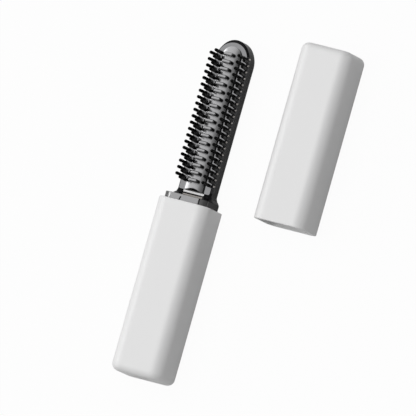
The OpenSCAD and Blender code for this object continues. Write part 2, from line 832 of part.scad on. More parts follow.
// A bar across the neck with a rounded lower front edge
module foot_bar(low_y, high_y, edge_r) {
    difference() {
        block([-foot_half, low_y, seat_gap / 2], [foot_half, high_y, foot_rise]);
        difference() {
            block([-foot_half - 1, low_y - 1, foot_rise - edge_r],
                [foot_half + 1, low_y + edge_r, foot_rise + 1]);
            translate([0, low_y + edge_r, foot_rise - edge_r])
                rotate([0, 90, 0]) cylinder(h = 2 * foot_half + 2, r = edge_r, center = true);
        }
    }
}

module plate_foot() {
    color(WHITE) place() foot_bar(foot_low_y, head_foot, foot_r);
}

module neck_insert() {
    color([0.75, 0.72, 0.7]) place()
        foot_bar(insert_low_y, insert_low_y + insert_len, insert_r);
}

module comb_strip() {
    intersection() {
        head_slab();
        strip_space(0);
    }
    at_inner_row() tooth(inner_tooth_h);
    at_outer_row() rotate([0, outer_lean, 0]) tooth(outer_tooth_h);
}

module left_comb_strip() {
    color(COMB) place() mirror([1, 0, 0]) comb_strip();
}

module right_comb_strip() {
    color(COMB) place() comb_strip();
}

module heater_stones() {
    color([0.82, 0.8, 0.74]) place() for (i = [0 : stone_count - 1])
        translate([-stone_w / 2, stack_foot + i * (stone_len + stone_gap), stone_z])
            cube([stone_w, stone_len, stone_t]);
}

// A contact strip as long as the heater stack
module contact_strip(z) {
    block([-stone_w / 2, stack_foot, z], [stone_w / 2, stack_foot + stack_len, z + contact_t]);
}

module front_contact() {
    color(BRASS) place() {
        contact_strip(front_contact_z);
        block([-lead_x - lead_r, stack_foot - contact_t, front_lead_z - lead_r],
            [-lead_x + lead_r, stack_foot, front_contact_z + contact_t]);
    }
}

module rear_contact() {
    color(BRASS) place() contact_strip(rear_contact_z);
}

module insulating_sheet() {
    color([0.85, 0.72, 0.45]) place()
        block([-stone_w / 2 - sheet_over / 2, stack_foot, sheet_z],
            [stone_w / 2 + sheet_over / 2, stack_foot + stack_len, rear_contact_z]);
}

module bow_spring() {
    rise = sheet_z - head_floor - seat_gap / 2;
    bow_r = (bow_len * bow_len / 4 + rise * rise) / (2 * rise);
    color(STEEL) place()
        translate([0, stack_foot + stack_len / 2, head_floor]) rotate([90, 0, 90])
            linear_extrude(bow_w, center = true) intersection() {
                translate([0, rise - bow_r]) difference() {
                    circle(bow_r, $fn = 360);
                    circle(bow_r - bow_t, $fn = 360);
                }
                translate([-bow_len / 2, 0]) square([bow_len, rise + 1]);
            }
}

// A small round part lying along the heater stones, on one side of them
module beside_stones(side, d, length, ahead) {
    translate([side * (stone_w / 2 + seat_gap + d / 2), stack_foot + ahead, stone_z + d / 2 - 0.1])
        rotate([-90, 0, 0]) cylinder(h = length, d = d);
}

module thermal_fuse() {
    color(STEEL) place() beside_stones(-1, fuse_d, fuse_len, 6);
}

module temperature_sensor() {
    color([0.75, 0.35, 0.15]) place() beside_stones(1, sensor_d, sensor_len, 10);
}

module heater_leads() {
    front_y = stack_foot - contact_t;
    color([0.7, 0.12, 0.1]) place() {
        wire([[-lead_x, front_y, front_lead_z], [-lead_x, lead_turn_y, front_lead_z],
            [board_back_x, lead_turn_y, front_lead_z]], lead_r);
        wire([[lead_x, stack_foot, rear_lead_z], [lead_x, lead_turn_y, rear_lead_z],
            [board_back_x, lead_turn_y, rear_lead_z]], lead_r);
    }
}

module head_screws() {
    color(STEEL) place() at_posts() translate([0, 0, counterbore_z]) mirror([0, 0, 1])
        screw(screw_d, post_z - counterbore_z + 3.2, screw_head_d, screw_head_h);
}

module chassis_screws() {
    color(STEEL) place() at_chassis_screws()
        screw(screw_d, chassis_screw_len, screw_head_d, screw_head_h);
}

// A cradle across the chassis that holds the cell and backs the main board
module cradle(y) {
    difference() {
        block([board_back_x, y - cradle_t / 2, -chassis_half],
            [chassis_half, y + cradle_t / 2, board_w / 2]);
        block([cell_x - cell_hollow_r, y - cradle_t, 0], [chassis_half + 1, y + cradle_t, board_w]);
    }
}

module chassis() {
    plate_y = -plug_sink - 2 * chassis_wall_t;
    color([0.2, 0.2, 0.22]) place() difference() {
        intersection() {
            translate([0, port_board_low, 0])
                square_bar(2 * chassis_half, -plug_sink - port_board_low, bore_r - chassis_gap);
            union() {
                block([-section_w, port_board_low, -section_w], [section_w, -plug_sink, floor_z]);
                block([-section_w, plate_y, -section_w], [section_w, -plug_sink, section_w]);
                block([board_back_x, upper_wall_y, -section_w],
                    [section_w, upper_wall_y + chassis_wall_t, chassis_wall_rise]);
                block([board_back_x, lower_wall_y, -section_w],
                    [section_w, lower_wall_y + chassis_wall_t, chassis_wall_rise]);
                block([-port_w / 2, port_board_low, floor_z - 1],
                    [port_w / 2, lower_wall_y + 0.5, port_board_z]);
                at_chassis_screws() translate([0, 0, -chassis_screw_len - 1])
                    cylinder(h = chassis_screw_len - 1, r = screw_d / 2 + 1.2);
                for (y = cradle_ys) cradle(y);
            }
        }
        translate([cell_x, cell_low - 1, 0]) rotate([-90, 0, 0])
            cylinder(h = cell_len + 2, r = cell_hollow_r);
        at_chassis_screws() translate([0, 0, -chassis_screw_len - 0.5])
            cylinder(h = chassis_screw_len + 1, d = screw_d + 2 * screw_gap);
        block([-lead_x - lead_d, plate_y - 1, rear_lead_z - lead_d],
            [lead_x + lead_d, -plug_sink + 1, front_lead_z + lead_d]);
        at_board_screws() translate([0, 0, -board_t - board_hole_depth])
            cylinder(h = board_t + board_hole_depth, d = small_screw_d + 2 * screw_gap);
    }
}

module battery_cell() {
    color([0.12, 0.35, 0.55]) place() translate([cell_x, cell_low, 0]) rotate([-90, 0, 0])
        cylinder(h = cell_len, d = cell_d);
}

module battery_tabs() {
    reach = cell_d / 4;
    color(STEEL) place() for (y = [cell_top, cell_low - tab_t])
        block([board_back_x, y, -tab_w / 2], [cell_x + reach, y + tab_t, tab_w / 2]);
}

module battery_pads() {
    color([0.15, 0.15, 0.15]) place() for (y = [cell_top + tab_t, cell_low - tab_t - pad_t])
        translate([cell_x, y, 0]) rotate([-90, 0, 0]) cylinder(h = pad_t, d = pad_d);
}

// The main board's screw places, with the screws' heads towards -X
module at_board_screws() {
    for (y = [cradle_ys[0], cradle_ys[2]], s = [-1, 1])
        translate([board_x, y, s * board_hole_z]) rotate([0, -90, 0]) children();
}

module main_board() {
    color(GREEN) place() difference() {
        block([board_x, board_low, -board_w / 2], [board_back_x, -board_drop, board_w / 2]);
        at_board_screws() translate([0, 0, -board_t - 1])
            cylinder(h = board_t + 2, d = small_screw_d + 2 * screw_gap);
    }
}

// A part on the main board, by its place along and across, its length, width and height
module chip(y, z, length, width, height) {
    block([board_x - height, y - length / 2, z - width / 2], [board_x, y + length / 2, z + width / 2]);
}

module board_parts() {
    capacitor_z = board_w / 2 - capacitor_w - small_head_d / 4;
    controller_y = cell_top - controller_drop;
    charger_y = board_low + charger_rise;
    color([0.1, 0.1, 0.1]) place() {
        chip(controller_y, 0, controller_w, controller_w, controller_h);
        chip(button_y - coil_off_button, 0, coil_w, coil_w, coil_h);
        chip(charger_y, 0, charger_len, charger_len, controller_h);
        for (y = [controller_y, charger_y], s = [-1, 1])
            chip(y, s * capacitor_z, capacitor_len, capacitor_w, capacitor_h);
    }
}

module board_screws() {
    color(STEEL) place() at_board_screws()
        screw(small_screw_d, board_t + 1.2, small_head_d, small_head_h);
}

module charging_board() {
    color(GREEN) place()
        block([board_back_x, port_board_low, port_board_z],
            [port_w / 2 + 2, port_board_low + port_board_len, -port_h / 2]);
}

module charging_socket() {
    tongue_w = 6.7;
    tongue_h = 0.7;
    back_t = 1;
    color(STEEL) place() translate([0, port_end_y, 0]) rotate([-90, 0, 0]) {
        difference() {
            linear_extrude(port_len) stadium(port_w, port_h);
            translate([0, 0, -1]) linear_extrude(port_len - back_t + 1)
                stadium(port_w - 2 * port_wall, port_h - 2 * port_wall);
        }
        translate([-tongue_w / 2, -tongue_h / 2, 0.8]) cube([tongue_w, tongue_h, port_len - 1]);
    }
}

module status_light() {
    lamp_w = 1.2;
    color([0.9, 0.9, 0.8]) place() chip(light_y, button_fore, 2 * lamp_w, lamp_w, lamp_h);
}

module light_guide() {
    tip_x = -section_w / 2;
    color([0.9, 0.92, 0.95]) place() translate([board_x - lamp_h - seat_gap, light_y, button_fore])
        rotate([0, -90, 0]) cylinder(h = board_x - lamp_h - seat_gap - tip_x, d = light_d);
}

module power_switch() {
    color([0.15, 0.15, 0.16]) place() at_button(board_x) difference() {
        translate([-switch_w / 2, -switch_w / 2, 0]) cube([switch_w, switch_w, switch_h]);
        translate([0, 0, switch_h - plunger_grip - button_travel - seat_gap])
            cylinder(h = switch_h, d = plunger_d + 2 * seat_gap);
    }
}

module switch_plunger() {
    plunger_x = switch_x + plunger_grip;
    color([0.8, 0.8, 0.8]) place() at_button(plunger_x)
        cylinder(h = plunger_x - flange_x, d = plunger_d);
}

module power_button() {
    face_h = flange_x + section_w / 2;
    low_reach = button_len / 2 + dish_shift;
    dish_h = face_h + button_out - dish_r + sqrt(dish_r * dish_r - low_reach * low_reach);
    color(WHITE) place() at_button(flange_x) {
        linear_extrude(flange_t) button_plan(button_gap + flange_over);
        difference() {
            linear_extrude(face_h + button_out + 0.5) button_plan(0);
            translate([dish_shift, 0, dish_h + dish_r]) rotate([90, 0, 0])
                cylinder(h = button_w + 2, r = dish_r, center = true, $fn = 180);
        }
    }
}

handle_shell();
cap_shell();
collar_ring();
collar_trim();
head_frame();
border_plate();
heating_plate();
plate_foot();
neck_insert();
left_comb_strip();
right_comb_strip();
heater_stones();
front_contact();
rear_contact();
insulating_sheet();
bow_spring();
thermal_fuse();
temperature_sensor();
heater_leads();
head_screws();
chassis();
chassis_screws();
battery_cell();
battery_tabs();
battery_pads();
main_board();
board_parts();
board_screws();
charging_board();
charging_socket();
status_light();
light_guide();
power_switch();
switch_plunger();
power_button();
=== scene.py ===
import json
import math
from contextlib import contextmanager

import bmesh
import bpy
from mathutils import Matrix, Vector


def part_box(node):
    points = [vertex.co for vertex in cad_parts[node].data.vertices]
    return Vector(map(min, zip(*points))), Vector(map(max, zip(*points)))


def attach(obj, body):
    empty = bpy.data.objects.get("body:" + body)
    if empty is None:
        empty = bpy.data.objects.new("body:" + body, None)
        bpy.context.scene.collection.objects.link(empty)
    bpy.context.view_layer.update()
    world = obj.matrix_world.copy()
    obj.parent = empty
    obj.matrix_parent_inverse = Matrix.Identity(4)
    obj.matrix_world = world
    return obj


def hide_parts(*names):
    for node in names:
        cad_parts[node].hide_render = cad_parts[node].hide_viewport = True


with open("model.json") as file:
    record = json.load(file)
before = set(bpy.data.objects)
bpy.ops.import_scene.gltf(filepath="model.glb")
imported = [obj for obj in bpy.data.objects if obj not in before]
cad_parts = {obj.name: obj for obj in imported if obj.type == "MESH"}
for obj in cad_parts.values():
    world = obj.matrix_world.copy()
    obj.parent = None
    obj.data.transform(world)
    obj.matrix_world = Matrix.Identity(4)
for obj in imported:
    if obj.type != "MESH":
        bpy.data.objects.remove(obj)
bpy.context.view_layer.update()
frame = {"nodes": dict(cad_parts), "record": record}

# sizes, in metres
MM = 0.001
MICRON = 0.001 * MM
HANDLE_LOW, HANDLE_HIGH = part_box("handle_shell")
TRIM_LOW, TRIM_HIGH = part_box("collar_trim")
SCREWS_LOW, SCREWS_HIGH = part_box("head_screws")
SOCKET_LOW, SOCKET_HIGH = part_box("charging_socket")
BUTTON_LOW, BUTTON_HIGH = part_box("power_button")
# the comb strips' faces lie at half of the handle's height
MID_Z = (HANDLE_LOW.z + HANDLE_HIGH.z) / 2
# the trim's two grooves, left and right of the middle
GROOVE_X = 8.65 * MM


# shader maths
class Value:
    """A number that varies over a surface. Arithmetic on it adds Math nodes."""

    def __init__(self, nodes, socket):
        self.nodes, self.socket = nodes, socket

    def math(self, operation, *others):
        sockets = {i: v for i, v in enumerate((self, *others))}
        return self.nodes.node("ShaderNodeMath", {"operation": operation}, sockets)

    def __add__(self, other):
        return self.math("ADD", other)

    def __mul__(self, other):
        return self.math("MULTIPLY", other)

    def __sub__(self, other):
        return self.math("SUBTRACT", other)

    def __rsub__(self, other):
        return self.math("MULTIPLY_ADD", -1.0, other)

    __radd__ = __add__
    __rmul__ = __mul__


class Nodes:
    """The nodes of a material or of the world."""

    def __init__(self, owner):
        owner.use_nodes = True
        self.tree = owner.node_tree

    def plug(self, socket, value):
        """Gives a socket a plain value, or a link that node() returned."""
        if isinstance(value, Value):
            self.tree.links.new(value.socket, socket)
        elif isinstance(value, (tuple, list)) and socket.type == "RGBA":
            socket.default_value = (*value[:3], 1.0)
        else:
            socket.default_value = value

    def node(self, kind, settings, sockets, out=0):
        made = self.tree.nodes.new(kind)
        for name, value in settings.items():
            setattr(made, name, value)
        for name, value in sockets.items():
            self.plug(made.inputs[name], value)
        return Value(self, made.outputs[out])

    def component(self, vector, axis):
        return self.node("ShaderNodeSeparateXYZ", {}, {"Vector": vector}, axis)

    def ramp(self, value, low, high):
        """0 to 1 as a value goes from low to high."""
        return self.node("ShaderNodeMapRange", {"interpolation_type": "SMOOTHSTEP"}, {
            "Value": value, "From Min": low, "From Max": high})

    def curve(self, value, points):
        """A value from 0 to 1, run through straight lines from point to point."""
        made = self.node("ShaderNodeFloatCurve", {}, {"Value": value})
        line = made.socket.node.mapping.curves[0]
        line.points[0].location, line.points[-1].location = points[0], points[-1]
        for place in points[1:-1]:
            line.points.new(*place)
        for point in line.points:
            point.handle_type = "VECTOR"
        made.socket.node.mapping.update()
        return made

    def seen(self, *rays):
        """1 on these kinds of rays, 0 on the others."""
        first, *others = [self.node("ShaderNodeLightPath", {}, {}, ray) for ray in rays]
        for other in others:
            first = first.math("MAXIMUM", other)
        return first


class Finish(Nodes):
    """One procedural material. Its patterns lie on the object's own coordinates."""

    def __init__(self, name, **sockets):
        self.material = bpy.data.materials.new(name)
        super().__init__(self.material)
        self.shader = self.tree.nodes["Principled BSDF"]
        self.place = self.node("ShaderNodeTexCoord", {}, {}, "Object")
        self.set(**sockets)

    def set(self, **sockets):
        for name, value in sockets.items():
            self.plug(self.shader.inputs[name.replace("_", " ")], value)

    def stretched(self, x, y, z):
        """Object coordinates, scaled by a factor on each axis."""
        return self.node("ShaderNodeMapping", {}, {"Vector": self.place, "Scale": (x, y, z)})

    def noise(self, size, detail=2.0, vector=None):
        """Noise from 0 to 1 with features of about that size."""
        return self.node("ShaderNodeTexNoise", {}, {
            "Vector": vector or self.place, "Scale": 1.0 / size, "Detail": detail})

    def between(self, mask, low, high):
        """A colour that goes from low to high with a mask."""
        return self.node("ShaderNodeMix", {"data_type": "RGBA"}, {0: mask, 6: low, 7: high}, 2)

    def walls(self, flat, steep):
        """0 where the normal rises more than flat, 1 where it rises less than steep."""
        normal = self.node("ShaderNodeTexCoord", {}, {}, "Normal")
        return self.ramp(self.component(normal, "Z").math("ABSOLUTE"), flat, steep)

    def above(self, height, blend):
        """1 above a height, 0 below it."""
        return self.ramp(self.component(self.place, "Z"), height - blend / 2, height + blend / 2)

    def outside(self, reach, blend):
        """1 further than reach to the left or right of the middle, 0 nearer."""
        across = self.component(self.place, "X").math("ABSOLUTE")
        return self.ramp(across, reach - blend / 2, reach + blend / 2)

    def bump(self, height, depth):
        return self.node("ShaderNodeBump", {}, {"Height": height, "Distance": depth})


def grey(level):
    return (level, level, level)


def scaled(colour, share):
    return tuple(c * share for c in colour)


# how far gloss moves with the slow drift or cloud, and with the fine grain or marks
MOULDED_DRIFT, MOULDED_GRAIN = 0.06, 0.05
ROLLED_CLOUD, ROLLED_MARKS = 0.05, 0.08


def moulded(name, colour, roughness, grain, depth, spread, **sockets):
    """Moulded plastic: a fine spark-eroded grain, and a slow drift of shade and gloss."""
    finish = Finish(name, **sockets)
    drift = finish.noise(30 * MM)
    fine = finish.noise(grain, 3.0)
    base = roughness - (MOULDED_DRIFT + MOULDED_GRAIN) / 2
    finish.shade = finish.between(drift, scaled(colour, 1.0 - spread), colour)
    finish.set(
        Base_Color=finish.shade,
        Roughness=drift * MOULDED_DRIFT + fine * MOULDED_GRAIN + base,
        Normal=finish.bump(fine, depth))
    return finish


def rolled(name, colour, roughness, along, depth, edge=1.0):
    """Bare metal with fine marks along an axis. Its steep walls are painted darker, to the share
    edge of its colour: a painted shade.
    """
    finish = Finish(name, Metallic=1.0)
    marks = finish.noise(0.4 * MM, 3.0, finish.stretched(*along))
    cloud = finish.noise(12 * MM)
    base = roughness - (ROLLED_CLOUD + ROLLED_MARKS) / 2
    shade = finish.between(cloud * 0.5 + marks * 0.5, scaled(colour, 0.93), colour)
    # steep walls painted darker: a painted shade for the dark reflections and shadow along
    # raised edges
    if edge < 1.0:
        shade = finish.between(finish.walls(0.8, 0.3), shade, scaled(colour, edge))
    finish.set(
        Base_Color=shade,
        Roughness=marks * ROLLED_MARKS + cloud * ROLLED_CLOUD + base,
        Normal=finish.bump(marks, depth))
    return finish


PLAIN, ALONG_X, ALONG_XZ = (1.0, 1.0, 1.0), (1.0, 0.1, 1.0), (1.0, 0.08, 1.0)

# moulded finishes: slot, name, colour, roughness, grain, depth of the grain, spread of shade
MOULDED = (
    ("white_shell", "white_moulding", grey(0.86), 0.36, 0.3, 2, 0.012),
    ("black_frame", "black_moulding", (0.01, 0.01, 0.011), 0.16, 0.3, 3, 0.2),
    # black_teeth's colour shows on the strip below the teeth, lightened there as a painted sheen
    ("black_teeth", "black_teeth_moulding", (0.045, 0.045, 0.048), 0.4, 0.2, 3, 0.2),
    ("grey_trim", "grey_trim_moulding", (0.44, 0.44, 0.445), 0.14, 0.3, 2, 0.08),
    ("white_block", "white_block_moulding", grey(0.97), 0.25, 0.3, 2, 0.03),
    # pale_insert also colours the strip beads, as a painted glint
    ("pale_insert", "pale_insert_moulding", (0.5, 0.47, 0.44), 0.35, 0.3, 2, 0.05),
    ("heater_ceramic", "heater_ceramic", (0.8, 0.78, 0.72), 0.6, 0.2, 10, 0.06),
    ("insulating_paper", "insulating_paper", (0.75, 0.6, 0.3), 0.5, 0.6, 6, 0.1),
    ("sensor_glass", "sensor_bead", (0.6, 0.25, 0.08), 0.1, 0.5, 2, 0.1),
    ("lead_insulation", "lead_silicone", (0.5, 0.05, 0.04), 0.45, 0.3, 4, 0.1),
    ("dark_chassis", "chassis_moulding", (0.08, 0.08, 0.085), 0.5, 0.4, 6, 0.1),
    ("cell_wrap", "cell_wrap", (0.06, 0.22, 0.42), 0.25, 2.0, 6, 0.06),
    ("pad_foam", "pad_foam", grey(0.05), 0.9, 0.5, 80, 0.3),
    ("board_laminate", "board_mask", (0.02, 0.16, 0.07), 0.35, 0.5, 4, 0.15),
    ("chip_black", "chip_moulding", grey(0.03), 0.55, 0.2, 6, 0.15),
    ("lamp_cream", "lamp_resin", (0.85, 0.8, 0.6), 0.25, 0.3, 2, 0.05),
    ("clear_guide", "clear_guide", (0.9, 0.93, 0.95), 0.12, 0.6, 2, 0.03),
)

# bare metals: slot, name, colour, roughness, run of the marks, their depth, share of colour kept
# on steep walls (a painted shade)
ROLLED = (
    ("polished_plate", "polished_plate", (0.42, 0.42, 0.43), 0.13, ALONG_XZ, 1, 0.15),
    ("cast_plate", "cast_plate", (0.6, 0.6, 0.61), 0.2, PLAIN, 2, 0.12),
    ("plain_steel", "plain_steel", (0.6, 0.6, 0.62), 0.3, PLAIN, 2, 1.0),
    ("contact_brass", "contact_brass", (0.8, 0.6, 0.28), 0.32, ALONG_X, 2, 1.0),
)


def make_finishes():
    """One finish for each of the record's material slots."""
    made = {}
    for slot, name, colour, roughness, grain, depth, spread in MOULDED:
        made[slot] = moulded(name, colour, roughness, grain * MM, depth * MICRON, spread)
    for slot, name, colour, roughness, along, depth, edge in ROLLED:
        made[slot] = rolled(name, colour, roughness, along, depth * MICRON, edge)

    white, trim, teeth = made["white_shell"], made["grey_trim"], made["black_teeth"]
    white.set(Coat_Weight=white.noise(50 * MM) * 0.05 + 0.05, Coat_Roughness=0.2)
    made["black_frame"].set(Specular_IOR_Level=0.1)
    made["clear_guide"].set(Transmission_Weight=0.7, IOR=1.49)

    # the strip below the teeth is lighter, a painted sheen for the highlight along its rim; the
    # teeth above are black and duller
    shaft = teeth.above(MID_Z + 0.2 * MM, 0.4 * MM)
    teeth.set(
        Base_Color=teeth.between(shaft, teeth.shade, grey(0.003)),
        Roughness=shaft * 0.25 + 0.15,
        Specular_IOR_Level=0.1)

    # the trim is painted darker outside its grooves, and nearly black round its corners: painted
    # shade where its corners turn away from the light
    shaded_tiles = trim.between(trim.outside(GROOVE_X, 0.1 * MM), trim.shade, grey(0.22))
    trim.set(Base_Color=trim.between(trim.walls(0.9, 0.55), shaded_tiles, grey(0.07)), Metallic=0.5)
    return made


FINISHES = make_finishes()


def coat(piece, slot):
    """Gives a piece the finish of one of the record's material slots."""
    if not piece.material_slots:
        piece.data.materials.append(FINISHES[slot].material)
    for place in piece.material_slots:
        place.material = FINISHES[slot].material


for part in frame["record"]["subparts"]:
    coat(frame["nodes"][part["node"]], part["material_slot"])


# modelling, as by hand
def activate(*pieces):
    """Selects these pieces alone."""
    bpy.ops.object.select_all(action="DESELECT")
    for piece in pieces:
        piece.select_set(True)
    bpy.context.view_layer.objects.active = pieces[0]


def start(name):
    """Names the primitive that was just added, and sets its place into its mesh."""
    piece = bpy.context.active_object
    piece.name = piece.data.name = name
    activate(piece)
    bpy.ops.object.transform_apply(location=True, rotation=True, scale=True)
    return piece


def add_block(name, low, high):
    bpy.ops.object.select_all(action="DESELECT")
    low, high = Vector(low), Vector(high)
    bpy.ops.mesh.primitive_cube_add(size=1.0, location=(low + high) / 2, scale=high - low)
    return start(name)


def add_rod(name, middle, radius, length, sides=48):
    """A rod that stands along Z."""
    bpy.ops.object.select_all(action="DESELECT")
    bpy.ops.mesh.primitive_cylinder_add(
        vertices=sides, radius=radius, depth=length, location=middle)
    return start(name)


@contextmanager
def editing(piece, kind):
    """Edit mode with nothing selected yet."""
    activate(piece)
    bpy.ops.object.mode_set(mode="EDIT")
    bpy.ops.mesh.select_mode(type=kind)
    bpy.ops.mesh.select_all(action="DESELECT")
    yield bmesh.from_edit_mesh(piece.data)
    bpy.ops.object.mode_set(mode="OBJECT")


# how nearly an edge or a normal has to lie along an axis to be picked
NEARLY = 0.99


def pick_faces(mesh, *normals):
    """Selects the faces that look one of these ways."""
    for face in mesh.faces:
        face.select_set(any(face.normal.dot(Vector(n)) > NEARLY for n in normals))


def round_edges(piece, axis, radius, steps):
    """Rounds a block's four edges along one axis."""
    with editing(piece, "EDGE") as mesh:
        for edge in mesh.edges:
            run = edge.verts[0].co - edge.verts[1].co
            edge.select_set(abs(run[axis]) > NEARLY * run.length)
        bpy.ops.mesh.bevel(offset=radius, segments=steps, affect="EDGES")


def round_ends(rod, radius, steps, *normals):
    """Rounds the rims of the ends that look one of these ways."""
    with editing(rod, "FACE") as mesh:
        pick_faces(mesh, *normals)
        bpy.ops.mesh.bevel(offset=radius, segments=steps, affect="EDGES")


def apply(piece, kind, **settings):
    modifier = piece.modifiers.new(kind.lower(), kind)
    for name, value in settings.items():
        setattr(modifier, name, value)
    activate(piece)
    bpy.ops.object.modifier_apply(modifier=modifier.name)


def cut(piece, tool):
    apply(piece, "BOOLEAN", object=tool, operation="DIFFERENCE", solver="EXACT")
    bpy.data.objects.remove(tool)


def smooth(piece, angle=40.0):
    activate(piece)
    bpy.ops.object.shade_smooth_by_angle(angle=math.radians(angle))


def soften(piece, width, steps=3):
    """A small round on the sharp edges, and smooth shading between them."""
    apply(piece, "BEVEL", width=width, segments=steps, limit_method="ANGLE",
        angle_limit=math.radians(50.0))
    smooth(piece)


def join(*pieces):
    activate(*pieces)
    bpy.ops.object.join()
    return pieces[0]


def place_piece(piece, slot, body, *nodes):
    """Coats a new piece, sets it on its body, and lets it stand for some nodes."""
    coat(piece, slot)
    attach(piece, body)
    if nodes:
        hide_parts(*nodes)


# power button: round corners, a hollow face with a soft rim, and its flange behind
BUTTON_LEN, BUTTON_W = 9.0 * MM, 7.0 * MM
BUTTON_CORNER, BUTTON_RIM = 1.3 * MM, 0.25 * MM
FLANGE_T, FLANGE_CORNER, FLANGE_EDGE = 0.8 * MM, 2.3 * MM, 0.1 * MM
# the dish's radius, and how far its deepest line lies towards the head
DISH_R, DISH_SHIFT = 25.0 * MM, 1.0 * MM


def make_button():
    middle = (BUTTON_LOW + BUTTON_HIGH) / 2
    low_y, high_y = middle.y - BUTTON_LEN / 2, middle.y + BUTTON_LEN / 2
    # the block stands proud by a millimetre, and the dish takes its face back to size
    button = add_block("power_button_cap",
        (BUTTON_LOW.x - MM, low_y, middle.z - BUTTON_W / 2),
        (BUTTON_HIGH.x, high_y, middle.z + BUTTON_W / 2))
    round_edges(button, 0, BUTTON_CORNER, 10)
    reach = BUTTON_LEN / 2 + DISH_SHIFT
    dish_x = BUTTON_LOW.x - math.sqrt(DISH_R ** 2 - reach ** 2)
    dish_middle = (dish_x, middle.y + DISH_SHIFT, middle.z)
    cut(button, add_rod("dish", dish_middle, DISH_R, 3 * BUTTON_W, 360))
    soften(button, BUTTON_RIM)
    flange_low = (BUTTON_HIGH.x - FLANGE_T, BUTTON_LOW.y, BUTTON_LOW.z)
    flange = add_block("flange", flange_low, BUTTON_HIGH)
    round_edges(flange, 0, FLANGE_CORNER, 8)
    soften(flange, FLANGE_EDGE)
    place_piece(join(button, flange), "white_shell", "button", "power_button")


# charging socket: a drawn shell with a tongue and two rows of contacts
SHELL_T, SHELL_EDGE = 0.3 * MM, 0.06 * MM
# what stays flat at each end of the shell's section
SHELL_FLAT = 0.01 * MM
SOCKET_DEPTH = 6.3 * MM
TONGUE_W, TONGUE_T, TONGUE_IN, TONGUE_EDGE = 6.7 * MM, 0.7 * MM, 0.8 * MM, 0.12 * MM
CONTACTS, CONTACT_PITCH = 12, 0.5 * MM
CONTACT_W, CONTACT_LEN, CONTACT_IN = 0.28 * MM, 4.2 * MM, 0.4 * MM
CONTACT_PROUD, CONTACT_EDGE = 0.03 * MM, 0.02 * MM


def make_socket():
    shell = add_block("socket_shell", SOCKET_LOW, SOCKET_HIGH)
    round_edges(shell, 1, (SOCKET_HIGH.z - SOCKET_LOW.z) / 2 - SHELL_FLAT, 12)
    with editing(shell, "FACE") as mesh:
        pick_faces(mesh, (0, -1, 0))
        bpy.ops.mesh.inset(thickness=SHELL_T, depth=0)
        bpy.ops.mesh.extrude_region_move(
            TRANSFORM_OT_translate={"value": (0, SOCKET_DEPTH, 0)})
    soften(shell, SHELL_EDGE, 2)
    place_piece(shell, "plain_steel", "comb", "charging_socket")

    front_y, back_y = SOCKET_LOW.y + TONGUE_IN, SOCKET_LOW.y + SOCKET_DEPTH
    tongue = add_block("socket_tongue",
        (-TONGUE_W / 2, front_y, MID_Z - TONGUE_T / 2),
        (TONGUE_W / 2, back_y, MID_Z + TONGUE_T / 2))
    soften(tongue, TONGUE_EDGE)
    place_piece(tongue, "chip_black", "comb")

    pads = []
    pad_y = front_y + CONTACT_IN
    for side in (-1, 1):
        for i in range(CONTACTS):
            x = (i - (CONTACTS - 1) / 2) * CONTACT_PITCH
            z = MID_Z + side * TONGUE_T / 2
            pads.append(add_block("socket_contacts",
                (x - CONTACT_W / 2, pad_y, z - CONTACT_PROUD),
                (x + CONTACT_W / 2, pad_y + CONTACT_LEN, z + CONTACT_PROUD)))
    pads = join(*pads)
    soften(pads, CONTACT_EDGE, 1)
    place_piece(pads, "contact_brass", "comb")


# head screws: pan heads with a cross recess, and a plain shank
SHANK_R, SHANK_END = 1.0 * MM, 0.3 * MM
PAN_R, PAN_T, PAN_ROUND, PAN_EDGE = 1.9 * MM, 1.4 * MM, 0.5 * MM, 0.06 * MM
RECESS_W, RECESS_REACH, RECESS_DEPTH = 0.5 * MM, 1.15 * MM, 0.75 * MM


def make_screw(y):
    low_z, high_z = SCREWS_LOW.z, SCREWS_HIGH.z
    head = add_rod("head_screw", (0, y, low_z + PAN_T / 2), PAN_R, PAN_T)
    round_ends(head, PAN_ROUND, 6, (0, 0, -1))
    centre = Vector((0, y, low_z))
    for half_x, half_y in ((RECESS_W / 2, RECESS_REACH), (RECESS_REACH, RECESS_W / 2)):
        half = Vector((half_x, half_y, RECESS_DEPTH))
        cut(head, add_block("recess", centre - half, centre + half))
    soften(head, PAN_EDGE, 2)
    neck_z = low_z + PAN_T
    shank = add_rod("shank", (0, y, (neck_z + high_z) / 2), SHANK_R, high_z - neck_z, 32)
    round_ends(shank, SHANK_END, 2, (0, 0, 1))
    smooth(shank)
    return join(head, shank)


def make_screws():
    rows = (SCREWS_LOW.y + PAN_R, SCREWS_HIGH.y - PAN_R)
    screws = join(*[make_screw(y) for y in rows])
    place_piece(screws, "plain_steel", "comb", "head_screws")


# pale beads half sunk in the comb strips' outer edges, one between each pair of outer teeth:
# their pale colour is a painted glint for the rim's highlight between the teeth
BEAD_R, BEAD_ROUND = 0.52 * MM, 0.42 * MM
BEAD_OUT, BEAD_DROP = 9.78 * MM, 0.48 * MM
BEADS, BEAD_PITCH, BEAD_START = 21, 3.56 * MM, 61.0 * MM


def make_glint_beads():
    for name, side in (("left_strip_glint_beads", -1), ("right_strip_glint_beads", 1)):
        place = (side * BEAD_OUT, BEAD_START, MID_Z - BEAD_DROP)
        glint_beads = add_rod(name, place, BEAD_R, 2 * BEAD_R, 16)
        round_ends(glint_beads, BEAD_ROUND, 4, (0, 0, 1), (0, 0, -1))
        smooth(glint_beads, 60.0)
        apply(glint_beads, "ARRAY", count=BEADS, use_relative_offset=False,
            use_constant_offset=True, constant_offset_displace=(0, BEAD_PITCH, 0))
        place_piece(glint_beads, "pale_insert", "comb")


# a white strip in the trim's left groove: a painted highlight for the glint on the trim's left
# corner
GLINT_W, GLINT_T, GLINT_PROUD = 0.6 * MM, 0.4 * MM, 0.02 * MM
GLINT_SHORT, GLINT_EDGE = 0.1 * MM, 0.08 * MM


